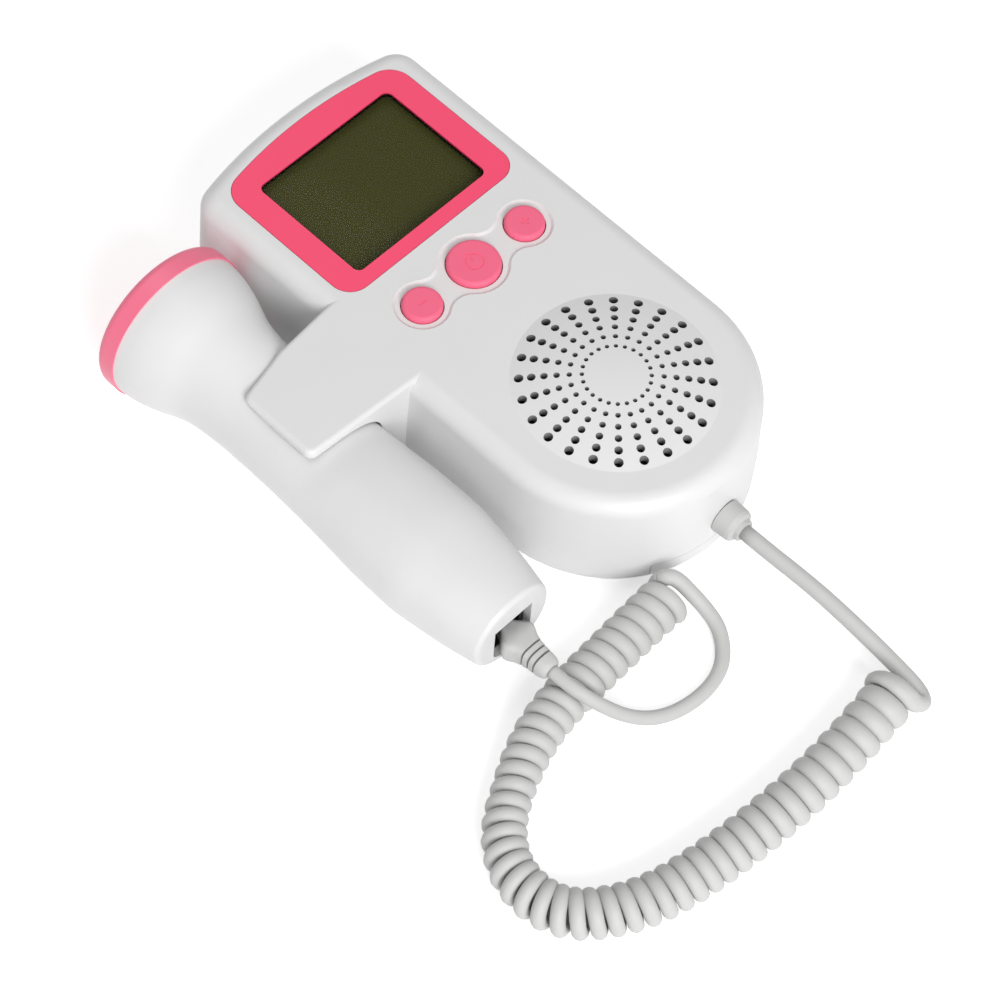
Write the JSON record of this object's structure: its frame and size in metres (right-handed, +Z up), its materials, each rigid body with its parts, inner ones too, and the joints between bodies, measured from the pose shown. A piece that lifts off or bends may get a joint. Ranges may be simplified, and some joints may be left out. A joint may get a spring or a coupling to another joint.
{
  "type": "fetal doppler monitor",
  "caption": "Pocket fetal heart monitor with display, buttons and speaker grille, and a round-headed probe on a curly cord parked in a side holder.",
  "frame": {"origin": "on the surface that the unit lies on, straight below the centre of the speaker grille", "axes": "+Z up out of the face, +Y from the grille towards the display, +X to the right of the display, away from the probe's holder"},
  "size_m": [0.1309, 0.1998, 0.0384],
  "materials": {
    "front_shell": "satin moulded white ABS",
    "back_shell": "satin moulded white ABS",
    "battery_cover": "satin moulded white ABS",
    "display_bezel": "satin pink ABS",
    "display_window": "clear acrylic",
    "lcd_glass": "olive liquid-crystal glass, unpowered",
    "lcd_frame": "white frame",
    "light_guide": "milky acrylic",
    "left_button": "soft pink silicone",
    "power_button": "soft pink silicone",
    "right_button": "soft pink silicone",
    "button_pad": "silicone",
    "main_board": "green solder mask",
    "push_switches": "tinned steel",
    "board_chips": "black epoxy",
    "speaker_cloth": "black woven cloth",
    "speaker_frame": "zinc-plated steel",
    "speaker_cone": "black film",
    "speaker_magnet": "plated magnet",
    "battery_cell_1": "plain sleeve over a steel can",
    "battery_cell_2": "plain sleeve over a steel can",
    "contact_plates": "nickel-plated steel",
    "contact_springs": "nickel-plated steel",
    "shell_screws": "zinc-plated steel",
    "board_screws": "zinc-plated steel",
    "cable_gland": "grey soft PVC",
    "cord_lead": "grey soft PVC",
    "cord_coil": "grey soft PVC",
    "cord_loop": "grey soft PVC",
    "plug_body": "clear polycarbonate",
    "plug_contacts": "gold-plated",
    "plug_boot": "grey soft PVC",
    "probe_handle": "satin moulded white ABS",
    "probe_socket": "black nylon",
    "probe_cap": "satin pink ABS",
    "transducer_crystals": "silvered ceramic",
    "probe_board": "green solder mask"
  },
  "bodies": {
    "unit": {"front_shell": "front_shell", "back_shell": "back_shell", "display_bezel": "display_bezel", "display_window": "display_window", "lcd_glass": "lcd_glass", "lcd_frame": "lcd_frame", "light_guide": "light_guide", "button_pad": "button_pad", "main_board": "main_board", "push_switches": "push_switches", "board_chips": "board_chips", "speaker_cloth": "speaker_cloth", "speaker_frame": "speaker_frame", "speaker_cone": "speaker_cone", "speaker_magnet": "speaker_magnet", "battery_cell_1": "battery_cell_1", "battery_cell_2": "battery_cell_2", "contact_plates": "contact_plates", "contact_springs": "contact_springs", "shell_screws": "shell_screws", "board_screws": "board_screws", "cable_gland": "cable_gland", "cord_lead": "cord_lead", "cord_coil": "cord_coil", "cord_loop": "cord_loop"},
    "probe": {"probe_handle": "probe_handle", "probe_socket": "probe_socket", "probe_cap": "probe_cap", "transducer_crystals": "transducer_crystals", "probe_board": "probe_board", "plug_body": "plug_body", "plug_contacts": "plug_contacts", "plug_boot": "plug_boot"},
    "left_key": {"left_button": "left_button"},
    "power_key": {"power_button": "power_button"},
    "right_key": {"right_button": "right_button"},
    "cover": {"battery_cover": "battery_cover"}
  },
  "joints": [
    {"name": "probe_out_of_holder", "type": "slide", "parent": "unit", "child": "probe", "axis": [-1, 0, 0], "range_m": [0, 0.045], "deforming": ["cord_loop"]},
    {"name": "left_button_press", "type": "slide", "parent": "unit", "child": "left_key", "axis": [0, 0, -1], "range_m": [0, 0.0007], "stiffness_N_per_m": 900, "springref_m": -0.0003},
    {"name": "power_button_press", "type": "slide", "parent": "unit", "child": "power_key", "axis": [0, 0, -1], "range_m": [0, 0.0007], "stiffness_N_per_m": 900, "springref_m": -0.0003},
    {"name": "right_button_press", "type": "slide", "parent": "unit", "child": "right_key", "axis": [0, 0, -1], "range_m": [0, 0.0007], "stiffness_N_per_m": 900, "springref_m": -0.0003},
    {"name": "battery_cover_slide", "type": "slide", "parent": "unit", "child": "cover", "axis": [0, -1, 0], "range_m": [0, 0.005]}
  ]
}
